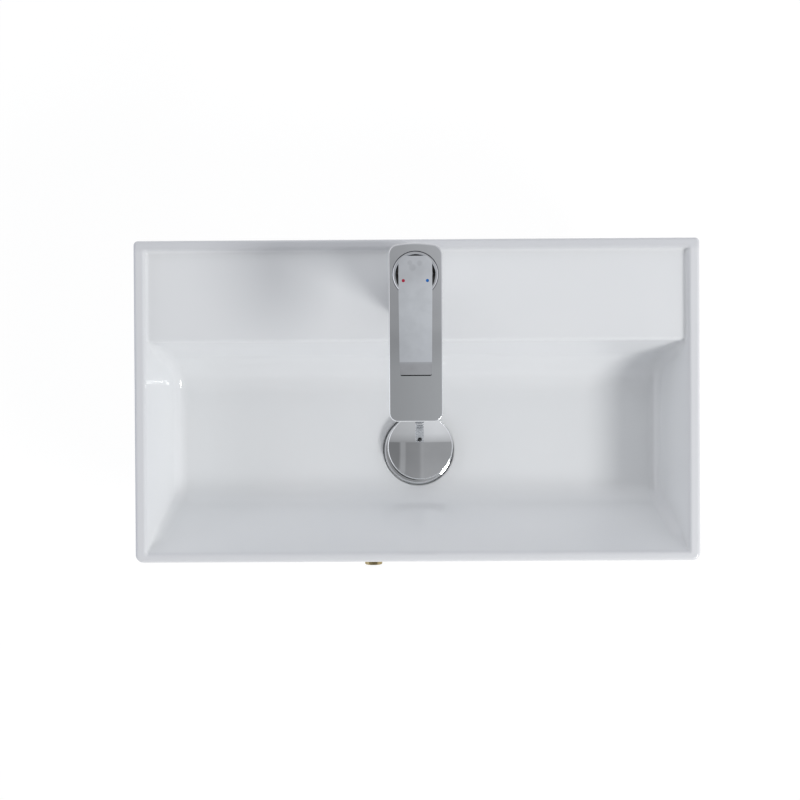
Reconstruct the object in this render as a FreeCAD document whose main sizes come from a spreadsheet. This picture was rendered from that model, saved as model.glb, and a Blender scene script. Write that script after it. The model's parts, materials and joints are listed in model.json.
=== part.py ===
import FreeCAD, Part
import math
import os
import Sketcher
from FreeCAD import Placement, Rotation, Vector

# A wall-held ceramic wash basin with a single-lever mixer, a press-to-close waste and one braided supply hose.
# Millimetres. X runs along the wall, +Y points into the wall, +Z is up.
# The origin is midway between the two wall-bolt holes, on the basin's rear face.

doc = FreeCAD.newDocument("bathroom_sink")
sheet = doc.addObject("Spreadsheet::Sheet", "Dimensions")

DIMENSIONS = [
    # the basin
    ("basin_half_width", 300, "half the width over the rim"),
    ("basin_depth", 342, "rear face to front face over the rim"),
    ("rim_top", 65, "rim above the wall bolts"),
    ("skirt_bottom", -65, "lower edge of the skirt"),
    ("draft_in", 6, "how far the side and front skirts draw in at the bottom"),
    ("corner_front", 9, "plan radius of the front corners"),
    ("corner_rear", 5, "plan radius of the rear corners"),
    ("rim_side", 11, "rim width at the sides"),
    ("rim_rear", 10, "rim width at the rear"),
    ("rim_front", 8.5, "rim width at the front"),
    ("deck_top", 58, "tap deck level"),
    ("deck_front", 107, "rear face to the deck's front edge"),
    ("deck_under", 46, "underside of the tap deck"),
    ("floor_top", -20, "bowl floor at its outer edge"),
    ("floor_rear", 126, "rear face to the foot of the rear wall, before its fillet"),
    ("floor_front", 279, "rear face to the foot of the front wall, before its fillet"),
    ("wall_draft", 15, "how far each side wall of the bowl leans in"),
    ("foot_rear", 46, "fillet at the foot of the rear wall"),
    ("foot_front", 25, "fillet at the foot of the front wall"),
    ("foot_side", 10, "fillet at the foot of the side walls"),
    ("dish_drop", 2.4, "fall of the floor to the waste"),
    ("skirt_wall", 11.5, "skirt thickness"),
    ("shell_wall", 13.2, "thickness of the bowl walls"),
    ("bolt_half", 140, "half the wall-bolt spacing"),
    ("bolt_hole", 7, "wall-bolt hole radius"),
    ("tap_hole", 17.5, "tap hole radius"),
    ("waste_hole", 23, "waste hole radius"),
    # the mixer
    ("mixer_y", 60.5, "rear face to the mixer's axis"),
    ("mixer_base", 59, "level of the mixer's base"),
    ("mixer_tall", 147, "height of the mixer's body"),
    ("mixer_half", 24.8, "half the width of the body and spout"),
    ("mixer_rear", 28.9, "axis to the body's rear face"),
    ("mixer_bulge", 105, "radius of the body's rear face, seen from above"),
    ("spout_reach", 136, "axis to the spout's front end"),
    ("aerator_reach", 119, "axis to the aerator"),
    ("shell_radius", 17.5, "cartridge radius"),
    ("ring_outer", 21.45, "cover ring, outer radius"),
    ("ring_inner", 19.7, "cover ring, inner radius"),
    ("hub_radius", 16.3, "ball hub of the lever"),
    ("lever_half", 15.4, "half the lever's width at its hub"),
    ("lever_reach", 93.2, "axis to the lever's tip"),
    ("lever_back", 15.3, "axis to the lever's rear end"),
    ("stem_arm", 16, "pivot pin to the stem's ball"),
    ("inlet_x", 8.5, "mixer axis to each inlet, sideways"),
    ("inlet_y", 3, "mixer axis to each inlet, forward"),
    ("inlet_radius", 5, "inlet thread"),
    ("stud_y", 10, "mixer axis to the stud, rearward"),
    # the waste
    ("waste_x", 1, "waste axis, sideways"),
    ("waste_y", 224, "rear face to the waste axis"),
    ("flange_radius", 39, "waste flange"),
    ("waste_thread", 20.9, "waste tube, outer radius"),
    ("waste_bore", 17.5, "waste tube, inner radius"),
    ("cap_radius", 37.2, "pop-up cap"),
    ("cap_ball", 100, "radius of the cap's dome"),
    ("plug_x", 2.3, "waste axis to the latch's axis, sideways"),
    ("plug_y", 3.5, "waste axis to the latch's axis, rearward"),
    ("tail_radius", 16, "tail pipe"),
    ("ground", -166, "level of the tail pipe's end and of the surface that the hose lies on"),
    # the supply hose
    ("hose_radius", 5.5, "braided hose"),
    ("hose_end_x", -57, "hose end, sideways"),
    ("hose_end_y", 326.2, "rear face to the end of the braided hose"),
    ("nut_end_y", 370.1, "rear face to the front end of the hose nut"),
    ("nut_flats", 19, "hose nut across flats"),
]

sheet.set("A1", "alias")
sheet.set("B1", "value")
sheet.set("C1", "what it is")
VALUES = {}
for row, (alias, number, note) in enumerate(DIMENSIONS, start=2):
    sheet.set(f"A{row}", alias)
    sheet.set(f"B{row}", str(number))
    sheet.setAlias(f"B{row}", alias)
    sheet.set(f"C{row}", note)
    VALUES[alias] = float(number)
doc.recompute()


class Size:
    """A number, with the formula that ties it to the sheet."""

    def __init__(self, value, text, bound=True):
        self.value, self.text, self.bound = float(value), text, bound

    def _with(self, other, sign, swap=False):
        other = size(other)
        a, b = (other, self) if swap else (self, other)
        value = {"+": a.value + b.value, "-": a.value - b.value, "*": a.value * b.value}.get(sign)
        if sign == "/":
            value = a.value / b.value
        return Size(value, f"({a.text} {sign} {b.text})", a.bound or b.bound)

    def __add__(self, other):
        return self._with(other, "+")

    def __radd__(self, other):
        return self._with(other, "+", True)

    def __sub__(self, other):
        return self._with(other, "-")

    def __rsub__(self, other):
        return self._with(other, "-", True)

    def __mul__(self, other):
        return self._with(other, "*")

    def __rmul__(self, other):
        return self._with(other, "*", True)

    def __truediv__(self, other):
        return self._with(other, "/")

    def __neg__(self):
        return self._with(-1, "*")


def size(x):
    return x if isinstance(x, Size) else Size(x, f"{float(x):.6f}", False)


def dim(alias):
    return Size(VALUES[alias], f"Dimensions.{alias}")


def bind(obj, prop, x):
    x = size(x)
    if "." not in prop:
        setattr(obj, prop, x.value)
    if x.bound:
        obj.setExpression(prop, x.text)


def place(obj, at=(0, 0, 0), direction=(0, 0, 1), turn=0):
    at = [size(v) for v in at]
    rotation = Rotation(Vector(0, 0, 1), Vector(*direction))
    if turn:
        rotation = rotation * Rotation(Vector(0, 0, 1), turn)
    obj.Placement = Placement(Vector(*(v.value for v in at)), rotation)
    for axis, v in zip("xyz", at):
        if v.bound:
            obj.setExpression(f"Placement.Base.{axis}", v.text)
    return obj


def cylinder(name, radius, height, at=(0, 0, 0), direction=(0, 0, 1)):
    obj = doc.addObject("Part::Cylinder", name)
    bind(obj, "Radius", radius)
    bind(obj, "Height", height)
    return place(obj, at, direction)


def cone(name, low, high, height, at=(0, 0, 0), direction=(0, 0, 1)):
    obj = doc.addObject("Part::Cone", name)
    bind(obj, "Radius1", low)
    bind(obj, "Radius2", high)
    bind(obj, "Height", height)
    return place(obj, at, direction)


def ball(name, radius, at=(0, 0, 0)):
    obj = doc.addObject("Part::Sphere", name)
    bind(obj, "Radius", radius)
    return place(obj, at)


def block(name, low, high):
    """A box from its lowest to its highest corner."""
    low, high = [size(v) for v in low], [size(v) for v in high]
    obj = doc.addObject("Part::Box", name)
    for prop, a, b in zip(("Length", "Width", "Height"), low, high):
        bind(obj, prop, b - a)
    return place(obj, low)


def hexagon(name, across_flats, height, at=(0, 0, 0), direction=(0, 0, 1), turn=0):
    obj = doc.addObject("Part::Prism", name)
    obj.Polygon = 6
    bind(obj, "Circumradius", size(across_flats) / 2 / math.cos(math.pi / 6))
    bind(obj, "Height", height)
    return place(obj, at, direction, turn)


def cut(name, base, *tools):
    tool = tools[0] if len(tools) == 1 else fuse(name + "_tools", *tools)
    obj = doc.addObject("Part::Cut", name)
    obj.Base, obj.Tool = base, tool
    return obj


def fuse(name, *shapes):
    obj = doc.addObject("Part::MultiFuse", name)
    obj.Shapes = list(shapes)
    obj.Refine = True
    return obj


def common(name, *shapes):
    obj = doc.addObject("Part::MultiCommon", name)
    obj.Shapes = list(shapes)
    obj.Refine = True
    return obj


def plane_of(body, role):
    return next(f for f in body.Origin.OriginFeatures if f.Role == role)


def outline(body, role, points):
    """A closed polygon whose corners are each held by two dimensions from the sheet."""
    points = [(size(a), size(b)) for a, b in points]
    sketch = body.newObject("Sketcher::SketchObject", body.Name + "_outline")
    sketch.AttachmentSupport = (plane_of(body, role), [""])
    sketch.MapMode = "FlatFace"
    n = len(points)
    for i in range(n):
        a, b = points[i], points[(i + 1) % n]
        sketch.addGeometry(
            Part.LineSegment(Vector(a[0].value, a[1].value, 0), Vector(b[0].value, b[1].value, 0)), False
        )
    for i in range(n):
        sketch.addConstraint(Sketcher.Constraint("Coincident", i, 2, (i + 1) % n, 1))
    for i, (a, b) in enumerate(points):
        for kind, v in (("DistanceX", a), ("DistanceY", b)):
            if abs(v.value) < 1e-9:
                # a corner on an axis of the sketch
                sketch.addConstraint(Sketcher.Constraint("PointOnObject", i, 1, -2 if kind == "DistanceX" else -1))
                continue
            k = sketch.addConstraint(Sketcher.Constraint(kind, -1, 1, i, 1, v.value))
            if v.bound:
                sketch.setExpression(f"Constraints[{k}]", v.text)
    return sketch


def padded(name, role, points, length, at=(0, 0, 0), symmetric=True):
    """A sketched outline padded about its plane, or along the plane's normal."""
    body = doc.addObject("PartDesign::Body", name)
    sketch = outline(body, role, points)
    pad = body.newObject("PartDesign::Pad", name + "_pad")
    pad.Profile = sketch
    bind(pad, "Length", length)
    if symmetric:
        if hasattr(pad, "SideType"):
            pad.SideType = "Symmetric"
        else:
            pad.Midplane = True
    sketch.Visibility = False
    body.Tip = pad
    return place(body, at)


def turned(name, points, at=(0, 0, 0), direction=(0, 0, 1)):
    """A profile of radius and height, turned about its own axis."""
    body = doc.addObject("PartDesign::Body", name)
    sketch = outline(body, "XZ_Plane", points)
    turn = body.newObject("PartDesign::Revolution", name + "_turn")
    turn.Profile = sketch
    turn.ReferenceAxis = (sketch, ["V_Axis"])
    turn.Angle = 360
    body.Tip = turn
    return place(body, at, direction)


def rounded(body, name, radius, chosen):
    """Fillets the edges of a body that the test picks."""
    doc.recompute()
    base = body.Tip
    names = [f"Edge{i + 1}" for i, e in enumerate(base.Shape.Edges) if chosen(e)]
    if not names:
        raise RuntimeError(f"{name}: no edge to round")
    obj = body.newObject("PartDesign::Fillet", name)
    obj.Base = (base, names)
    bind(obj, "Radius", radius)
    body.Tip = obj
    doc.recompute()
    return obj


def softened(name, base, picks):
    """Fillets edges of any solid: picks pairs a radius with a test of an edge."""
    doc.recompute()
    edges = []
    for i, e in enumerate(base.Shape.Edges):
        for radius, chosen in picks:
            if chosen(e):
                edges.append((i + 1, size(radius).value, size(radius).value))
                break
    if not edges:
        raise RuntimeError(f"{name}: no edge to round")
    obj = doc.addObject("Part::Fillet", name)
    obj.Base = base
    obj.Edges = edges
    doc.recompute()
    return obj


def mid(e):
    return e.valueAt((e.FirstParameter + e.LastParameter) / 2)


def along(e, axis):
    """Whether an edge is straight and runs within about 12 degrees of an axis."""
    if not isinstance(e.Curve, (Part.Line, Part.LineSegment)):
        return False
    d = (e.Vertexes[-1].Point - e.Vertexes[0].Point).normalize()
    return abs(d.dot(Vector(*axis))) > 0.978


PARTS = {}


def keep(node, obj):
    obj.Label = node
    PARTS[node] = obj
    return obj


# ---------------------------------------------------------------- the basin
half, rim, foot = dim("basin_half_width"), dim("rim_top"), dim("skirt_bottom")
deep = dim("basin_depth")
low_half, low_front = half - dim("draft_in"), deep - dim("draft_in")
plan = padded(
    "basin_front_view",
    "XZ_Plane",
    [(-half, rim), (-low_half, foot), (low_half, foot), (half, rim)],
    deep,
    at=(0, -deep / 2, 0),
)
side = padded(
    "basin_side_view",
    "YZ_Plane",
    [(-deep, rim), (-low_front, foot), (0, foot), (0, rim)],
    half * 2 + 20,
)
outer_block = common("basin_block", plan, side)
W, D, RIM, FOOT = VALUES["basin_half_width"], VALUES["basin_depth"], VALUES["rim_top"], VALUES["skirt_bottom"]
outer_corners = softened(
    "basin_corners",
    outer_block,
    [
        (dim("corner_front"), lambda e: along(e, (0, 0, 1)) and mid(e).y < -D / 2),
        (dim("corner_rear"), lambda e: along(e, (0, 0, 1)) and mid(e).y > -D / 2),
    ],
)
outer = softened(
    "basin_outside",
    outer_corners,
    [
        (4.0, lambda e: abs(e.BoundBox.ZMin - RIM) < 1e-6 and abs(e.BoundBox.ZMax - RIM) < 1e-6 and mid(e).y < -1),
        (2.5, lambda e: abs(e.BoundBox.ZMax - FOOT) < 1e-6 and abs(e.BoundBox.ZMin - FOOT) < 1e-6 and mid(e).y < -1),
    ],
)

inner_half = half - dim("rim_side")
deck, floor = dim("deck_top"), dim("floor_top")
bowl_side = padded(
    "bowl_side_view",
    "YZ_Plane",
    [
        (-dim("rim_rear"), rim + 20),
        (-dim("rim_rear"), rim),
        (-dim("rim_rear") - 1.5, deck),
        (-dim("deck_front"), deck),
        (-dim("floor_rear"), floor),
        (-dim("floor_front"), floor),
        (-deep + dim("rim_front"), rim),
        (-deep + dim("rim_front"), rim + 20),
    ],
    inner_half * 2 + 10,
)
DECK, FLOOR = VALUES["deck_top"], VALUES["floor_top"]
at_yz = lambda e, y, z: along(e, (1, 0, 0)) and abs(mid(e).y - y) < 0.01 and abs(mid(e).z - z) < 0.01
rounded(bowl_side, "deck_rear_fillet", 5, lambda e: at_yz(e, -VALUES["rim_rear"] - 1.5, DECK))
rounded(bowl_side, "rear_foot_fillet", dim("foot_rear"), lambda e: at_yz(e, -VALUES["floor_rear"], FLOOR))
rounded(bowl_side, "front_foot_fillet", dim("foot_front"), lambda e: at_yz(e, -VALUES["floor_front"], FLOOR))
rounded(bowl_side, "deck_edge_fillet", 5, lambda e: at_yz(e, -VALUES["deck_front"], DECK))
bowl_front = padded(
    "bowl_front_view",
    "XZ_Plane",
    [
        (-inner_half, rim + 20),
        (-inner_half, rim),
        (-inner_half + dim("wall_draft"), floor),
        (inner_half - dim("wall_draft"), floor),
        (inner_half, rim),
        (inner_half, rim + 20),
    ],
    deep,
    at=(0, -deep / 2, 0),
)
IN = W - VALUES["rim_side"]
rounded(
    bowl_front,
    "side_foot_fillets",
    dim("foot_side"),
    lambda e: along(e, (0, 1, 0)) and abs(abs(mid(e).x) - IN + VALUES["wall_draft"]) < 0.01 and abs(mid(e).z - FLOOR) < 0.01,
)
bowl = common("bowl_hollow", bowl_side, bowl_front)

waste_at = (dim("waste_x"), -dim("waste_y"))
dish = cone(
    "floor_dish", dim("flange_radius") + 1, 125, dim("dish_drop"), at=(*waste_at, floor - dim("dish_drop"))
)
recess = cylinder("waste_recess", dim("flange_radius") + 1.1, 30, at=(*waste_at, floor - 7.5))
waste_way = cylinder("waste_way", dim("waste_hole"), 60, at=(*waste_at, floor - 50))
tap_way = cylinder("tap_way", dim("tap_hole"), 60, at=(0, -dim("mixer_y"), dim("deck_under") - 20))
bolts = [
    cylinder(f"bolt_way_{side_name}", dim("bolt_hole"), 60, at=(x, 20, 0), direction=(0, -1, 0))
    for side_name, x in (("left", -dim("bolt_half")), ("right", dim("bolt_half")))
]

# the hollow underside: the space inside the skirt, without the bowl's own shell
skirt = dim("skirt_wall")
under_block = padded(
    "underside_front_view",
    "XZ_Plane",
    [
        (-low_half + skirt, foot - 5),
        (low_half - skirt, foot - 5),
        (half - skirt - 2, dim("deck_under")),
        (-half + skirt + 2, dim("deck_under")),
    ],
    deep - skirt * 2 - 6,
    at=(0, -deep / 2 + 2.5, 0),
)
shell = dim("shell_wall")
bowl_shell = padded(
    "bowl_shell_side_view",
    "YZ_Plane",
    [
        (-dim("deck_front") + shell, dim("deck_under") + 10),
        (-dim("deck_front") + 1, 6),
        (-dim("floor_rear") - 6, floor - 14),
        (-dim("floor_front") - 7, floor - 14),
        (-deep - 20, 62),
        (-deep - 20, dim("deck_under") + 40),
        (-dim("deck_front") + shell, dim("deck_under") + 40),
    ],
    half * 2 + 20,
)
underside = cut("underside_hollow", under_block, bowl_shell)
boss = cylinder("waste_boss", 46, 14, at=(*waste_at, floor - 22))
basin_solid = cut("basin_shell", outer, bowl, underside, dish)
basin_boss = fuse("basin_with_boss", basin_solid, boss)
basin_cut = cut("basin_drilled", basin_boss, recess, waste_way, tap_way, *bolts)

# the rim's inner edge is rounded all the way round
def rim_inside(e):
    p, b = mid(e), e.BoundBox
    flat = abs(b.ZMin - RIM) < 1e-6 and abs(b.ZMax - RIM) < 1e-6
    return flat and abs(p.x) < W - 9 and -D + 7 < p.y < -8


basin = keep("basin", softened("basin_body", basin_cut, [(3.0, rim_inside)]))

# ---------------------------------------------------------------- the mixer's body
MX, MY, MZ = 0.0, -VALUES["mixer_y"], VALUES["mixer_base"]
my, mz = -dim("mixer_y"), dim("mixer_base")
top = dim("mixer_tall")
body_half = dim("mixer_half")
casting = padded(
    "mixer_casting",
    "YZ_Plane",
    [
        (dim("mixer_rear") + 3, 0),
        (dim("mixer_rear") + 3, top),
        (-dim("spout_reach"), top),
        (-dim("spout_reach") + 2.5, top - 19),
        (-body_half, top - 29),
        (-body_half + 2, 0),
    ],
    body_half * 2,
    at=(0, my, mz),
)
TOP, HALF = VALUES["mixer_tall"], VALUES["mixer_half"]
rounded(casting, "spout_end", 8, lambda e: along(e, (0, 0, 1)) and mid(e).y < -130)
rounded(casting, "spout_root", 20, lambda e: along(e, (1, 0, 0)) and abs(mid(e).y + HALF) < 0.1 and abs(mid(e).z - TOP + 29) < 0.1)
bulged = common(
    "casting_bulged",
    casting,
    cylinder("rear_bulge", dim("mixer_bulge"), 200, at=(0, my + dim("mixer_rear") - dim("mixer_bulge"), mz - 10)),
)
upright = softened(
    "casting_upright",
    bulged,
    [
        (9, lambda e: abs(e.BoundBox.ZLength - TOP) < 3 and mid(e).y > MY + 20 and abs(mid(e).x) > HALF - 0.1),
        (6, lambda e: along(e, (0, 0, 1)) and MY - 30 < mid(e).y < MY - 15),
    ],
)
casting_soft = softened(
    "casting_soft", upright, [(1.5, lambda e: abs(e.BoundBox.ZMin - MZ - TOP) < 0.02 and abs(e.BoundBox.ZMax - MZ - TOP) < 0.02)]
)

mixer_axis = lambda z: (0, my, mz + z)
bores = [
    cylinder("cartridge_seat", dim("shell_radius") + 0.1, 60, at=mixer_axis(110)),
    cylinder("nut_thread", 20.35, 60, at=mixer_axis(131.9)),
    cylinder("ring_seat", dim("ring_outer") + 0.1, 60, at=mixer_axis(140)),
    cylinder("outlet_port", 2.2, 20, at=(0, my - 2, mz + 104)),
    block("outlet_slot", (-2.4, my - 21.5, mz + 104), (2.4, my, mz + 108)),
    block("outlet_riser", (-2.4, my - 21.8, mz + 104), (2.4, my - 18.9, mz + 130)),
    cylinder("aerator_thread", 12, 30, at=(0, my - dim("aerator_reach"), mz + 104)),
    cylinder("aerator_way", 9, 20, at=(0, my - dim("aerator_reach"), mz + 120)),
    cylinder("stud_thread", 3.05, 11, at=(0, my + dim("stud_y"), mz - 1)),
]
for name, sign in (("hot", -1), ("cold", 1)):
    x = dim("inlet_x") * sign
    bores += [
        cylinder(f"{name}_thread", dim("inlet_radius"), 13, at=(x, my - dim("inlet_y"), mz - 1)),
        cylinder(f"{name}_riser", 3.2, 96, at=(x, my - dim("inlet_y"), mz + 8)),
        cylinder(f"{name}_port", 1.9, 12, at=(4.6 * sign, my - 1.5, mz + 99)),
    ]
waterway = padded(
    "spout_waterway",
    "YZ_Plane",
    [(-21.8, top - 23), (-21.8, top - 18), (-26, top - 5), (-dim("spout_reach") + 8, top - 5), (-dim("spout_reach") + 8, top - 13), (-60, top - 19.5)],
    39,
    at=(0, my, mz),
)
# the column is hollow round its two inlet pipes and the boss of its stud
pipes = [
    cylinder(f"{name}_pipe", 6.2, 110, at=(dim("inlet_x") * sign, my - dim("inlet_y"), mz - 2))
    for name, sign in (("hot", -1), ("cold", 1))
]
stud_boss = cylinder("stud_boss", 6, 18, at=(0, my + dim("stud_y"), mz - 2))
web = block("boss_web", (-3, my + dim("stud_y"), mz - 2), (3, my + 24, mz + 16))
pipe_web = block("pipe_web", (-22, my - dim("inlet_y") - 1.5, mz - 2), (22, my - dim("inlet_y") + 1.5, mz + 101))
lightening = cut(
    "column_hollow",
    block("column_space", (-20, my - 18.5, mz - 1), (20, my + 21, mz + 100)),
    *pipes, stud_boss, web, pipe_web,
)
mixer_body = keep("mixer_body", cut("mixer_body_bored", casting_soft, waterway, lightening, *bores))

gasket_blank = padded(
    "gasket_blank",
    "XY_Plane",
    [(-body_half + 1, -body_half + 3), (body_half - 1, -body_half + 3), (body_half - 1, dim("mixer_rear") - 4), (-body_half + 1, dim("mixer_rear") - 4)],
    1,
    at=(0, my, dim("deck_top")),
    symmetric=False,
)
rounded(gasket_blank, "gasket_corners", 7, lambda e: along(e, (0, 0, 1)))
keep("base_gasket", cut("base_gasket_open", gasket_blank, cylinder("gasket_way", dim("tap_hole"), 5, at=(0, my, dim("deck_top") - 2))))

# the spout's outlet
aer_y = my - dim("aerator_reach")
keep(
    "aerator_housing",
    turned(
        "aerator_sleeve",
        [(9.6, 19), (11.95, 19), (11.95, 12.6), (11.4, 12), (8.6, 12), (8.6, 14), (9.6, 14)],
        at=(0, aer_y, mz + 112),
    ),
)
screen_disc = cylinder("screen_disc", 9.5, 2, at=(0, aer_y, mz + 126.2))
holes = [
    cylinder(f"jet_{i}_{k}", 0.75, 4, at=(r * math.cos(6.283185 * k / n), aer_y + r * math.sin(6.283185 * k / n), mz + 125.2))
    for i, (r, n) in enumerate(((0, 1), (2.8, 6), (5.4, 12), (7.8, 18)))
    for k in range(n)
]
keep("aerator_screen", cut("aerator_screen_open", screen_disc, *holes))
keep("aerator_washer", turned("aerator_ring", [(9.2, 0), (11.9, 0), (11.9, 1.6), (9.2, 1.6)], at=(0, aer_y, mz + 131.2)))

# ---------------------------------------------------------------- the cartridge
shell_blank = turned(
    "shell_blank",
    [
        (0, 111.5), (dim("shell_radius"), 111.5), (dim("shell_radius"), 131.9), (16.5, 131.9), (16.5, 136.8), (12.9, 136.8),
        (12.9, 135.2), (15.28, 135.2), (15.28, 117.5), (0, 117.5),
    ],
    at=(0, my, mz),
)
ports = lambda tag, low, high: [
    cylinder(f"{tag}_hot_port", 1.9, high - low, at=(-4.6, my - 1.5, mz + low)),
    cylinder(f"{tag}_cold_port", 1.9, high - low, at=(4.6, my - 1.5, mz + low)),
    cylinder(f"{tag}_out_port", 2.2, high - low, at=(0, my - 2, mz + low)),
]
keep("cartridge_shell", cut("cartridge_shell_ported", shell_blank, *ports("shell", 110, 119)))
seal_plate = cylinder("seal_plate", 12, 1.45, at=mixer_axis(110.02))
keep("cartridge_seals", cut("cartridge_seals_ported", seal_plate, *ports("seal", 109, 113)))
keep("fixed_disc", cut("fixed_disc_ported", cylinder("fixed_disc_blank", 14.8, 4.42, at=mixer_axis(117.53)), *ports("fixed", 117, 123)))
moving_blank = cylinder("moving_disc_blank", 8.4, 4, at=(0, my + 3, mz + 122))
mixing = block("mixing_pocket", (-6.5, my + 1.5, mz + 121), (6.5, my + 6.5, mz + 124))
keep("moving_disc", cut("moving_disc_pocketed", moving_blank, mixing))
carrier_blank = cylinder("carrier_blank", 8.4, 6.15, at=(0, my + 3, mz + 126.05))
ball_slot = block("ball_slot", (-2.9, my - 2.85, mz + 128), (2.9, my + 2.85, mz + 134))
keep("disc_carrier", cut("disc_carrier_slotted", carrier_blank, ball_slot))

rotor_cup = turned(
    "rotor_cup", [(0, 132.6), (12.6, 132.6), (12.6, 122.5), (15.2, 122.5), (15.2, 135), (0, 135)], at=(0, my, mz)
)
pin_at = (0, my, mz + top)
cheeks = []
for name, sign in (("left", -1), ("right", 1)):
    x0, x1 = (4.3, 10.3) if sign > 0 else (-10.3, -4.3)
    cheeks += [
        block(f"cheek_{name}", (x0, my - 4, mz + 134), (x1, my + 4, mz + top)),
        cylinder(f"cheek_head_{name}", 4, 6, at=(x0, my, mz + top), direction=(1, 0, 0)),
    ]
rotor_whole = fuse("rotor_whole", rotor_cup, *cheeks)
stem_slot = block("stem_slot", (-3.2, my - 8.4, mz + 130), (3.2, my + 3.2, mz + 136))
pin_way = cylinder("pin_way", 1.52, 30, at=(-15, my, mz + top), direction=(1, 0, 0))
keep("cartridge_rotor", cut("cartridge_rotor_slotted", rotor_whole, stem_slot, pin_way))
keep("stem_pivot_pin", cylinder("pivot_pin", 1.5, 20.6, at=(-10.3, my, mz + top), direction=(1, 0, 0)))

arm = dim("stem_arm")
stem_bar = block("stem_bar", (-4, my - 3.2, mz + top - 5), (4, my + 3.2, mz + top + 8))
stem_rod = cylinder("stem_rod", 2.2, arm - 4, at=(0, my, mz + top - arm))
stem_ball = ball("stem_ball", 2.5, at=(0, my, mz + top - arm))
stem_whole = fuse("stem_whole", stem_bar, stem_rod, stem_ball)
keep("lever_stem", cut("lever_stem_drilled", stem_whole, cylinder("stem_pin_way", 1.57, 20, at=(-10, my, mz + top), direction=(1, 0, 0))))

nut_blank = turned("nut_blank", [(16.6, 132), (20.3, 132), (20.3, 137.5), (16.6, 137.5)], at=(0, my, mz))
notches = [
    block("notch_x", (-22, my - 1.6, mz + 135.5), (22, my + 1.6, mz + 138)),
    block("notch_y", (-1.6, my - 22, mz + 135.5), (1.6, my + 22, mz + 138)),
]
keep("retaining_nut", cut("retaining_nut_notched", nut_blank, *notches))
keep(
    "cover_ring",
    turned(
        "cover_ring_turned",
        [
            (dim("ring_inner"), 140), (dim("ring_outer"), 140), (dim("ring_outer"), 142.4), (dim("ring_outer") - 0.45, 142.8),
            (dim("ring_outer") - 0.45, top - 0.35), (dim("ring_outer") - 1.15, top + 0.15), (18.9, top + 0.15), (18.4, top), (18.1, top - 0.6),
            (18.1, top - 2), (dim("ring_inner"), top - 3.6),
        ],
        at=(0, my, mz),
    ),
)

# ---------------------------------------------------------------- the lever
back, reach, wide = dim("lever_back"), dim("lever_reach"), dim("lever_half")
plate = padded(
    "lever_plate",
    "YZ_Plane",
    [
        (back, top + 6.5),
        (back, top + 9),
        (-reach + 11.3, top + 12.2),
        (-reach, top + 8.8),
        (-reach, top + 7.5),
        (-reach + 30, top + 7),
        (-20, top + 6.5),
    ],
    wide * 2,
    at=(0, my, mz),
)
LT = TOP + 9
plan_of_lever = padded(
    "lever_plan",
    "XY_Plane",
    [(wide, 30), (wide, -20), (wide - 0.8, -reach - 5), (-wide + 0.8, -reach - 5), (-wide, -20), (-wide, 30)],
    60,
    at=(0, my, mz + top),
)
blade = common("lever_blade", plate, plan_of_lever)
round_end = fuse(
    "lever_round_end",
    cylinder("lever_end_round", 18.4, 40, at=(0, my, mz + top - 20)),
    block("lever_front_space", (-20, my - reach - 5, mz + top - 20), (20, my, mz + top + 20)),
)
blade_round = common("lever_blade_round", blade, round_end)
LZ = MZ + TOP
blade_soft = softened(
    "lever_blade_soft",
    blade_round,
    [(1.5, lambda e: along(e, (0, 0, 1)) and mid(e).y < MY - 90)],
)
hub = common(
    "lever_hub",
    ball("hub_ball", dim("hub_radius"), at=pin_at),
    block("hub_slab", (-25, my - 25, mz + top - 1), (25, my + 25, mz + top + 7.4)),
)
lever_whole = fuse("lever_whole", blade_soft, hub)
lever_cuts = [
    block("cheek_space", (-10.9, my - 6, mz + top - 20), (10.9, my + 6, mz + top + 4.8)),
    block("stem_socket", (-4.05, my - 3.25, mz + top), (4.05, my + 3.25, mz + top + 8.05)),
    cylinder("grub_way", 2.15, 30, at=(0, my + 2, mz + top + 4.3), direction=(0, 1, 0)),
]
for name, sign in (("hot", -1), ("cold", 1)):
    lever_cuts.append(cylinder(f"{name}_dot_seat", 1.48, 5, at=(11.0 * sign, my - 7.4, mz + top + 9.05)))
    keep(f"{name}_index_dot", cylinder(f"{name}_dot", 1.45, 0.66, at=(11.0 * sign, my - 7.4, mz + top + 9.05)))
keep("lever", cut("lever_finished", lever_whole, *lever_cuts))
grub = cylinder("grub_blank", 2.1, 6, at=(0, my + 3.25, mz + top + 4.3), direction=(0, 1, 0))
keep("lever_grub_screw", cut("grub_with_socket", grub, hexagon("grub_socket", 2, 3, at=(0, my + 6.6, mz + top + 4.3), direction=(0, 1, 0))))
keep("lever_screw_plug", cylinder("screw_plug", 2.1, 1.6, at=(0, my + back - 1.1, mz + top + 4.3), direction=(0, 1, 0)))

# ---------------------------------------------------------------- fixing under the deck
under = dim("deck_under")
stud_at = my + dim("stud_y")
keep("mounting_stud", cylinder("stud_rod", 3, 52, at=(0, stud_at, mz - 42.5)))
for node, low, high, r in (("horseshoe_rubber", -3, 0, 26), ("horseshoe_plate", -5, -3, 25.5)):
    disc = cylinder(node + "_disc", r, high - low, at=(0, my, under + low))
    slot = block(node + "_slot", (-15, my - 40, under - 8), (15, my + 4.5, under + 3))
    stud_way = cylinder(node + "_stud_way", 3.3, 20, at=(0, stud_at, under - 10))
    keep(node, cut(node + "_open", disc, slot, stud_way))
nut_body = hexagon("stud_nut_hex", 10, 7, at=(0, stud_at, under - 12.02))
keep("stud_nut", cut("stud_nut_bored", nut_body, cylinder("stud_nut_way", 3.02, 20, at=(0, stud_at, under - 20))))

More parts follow.
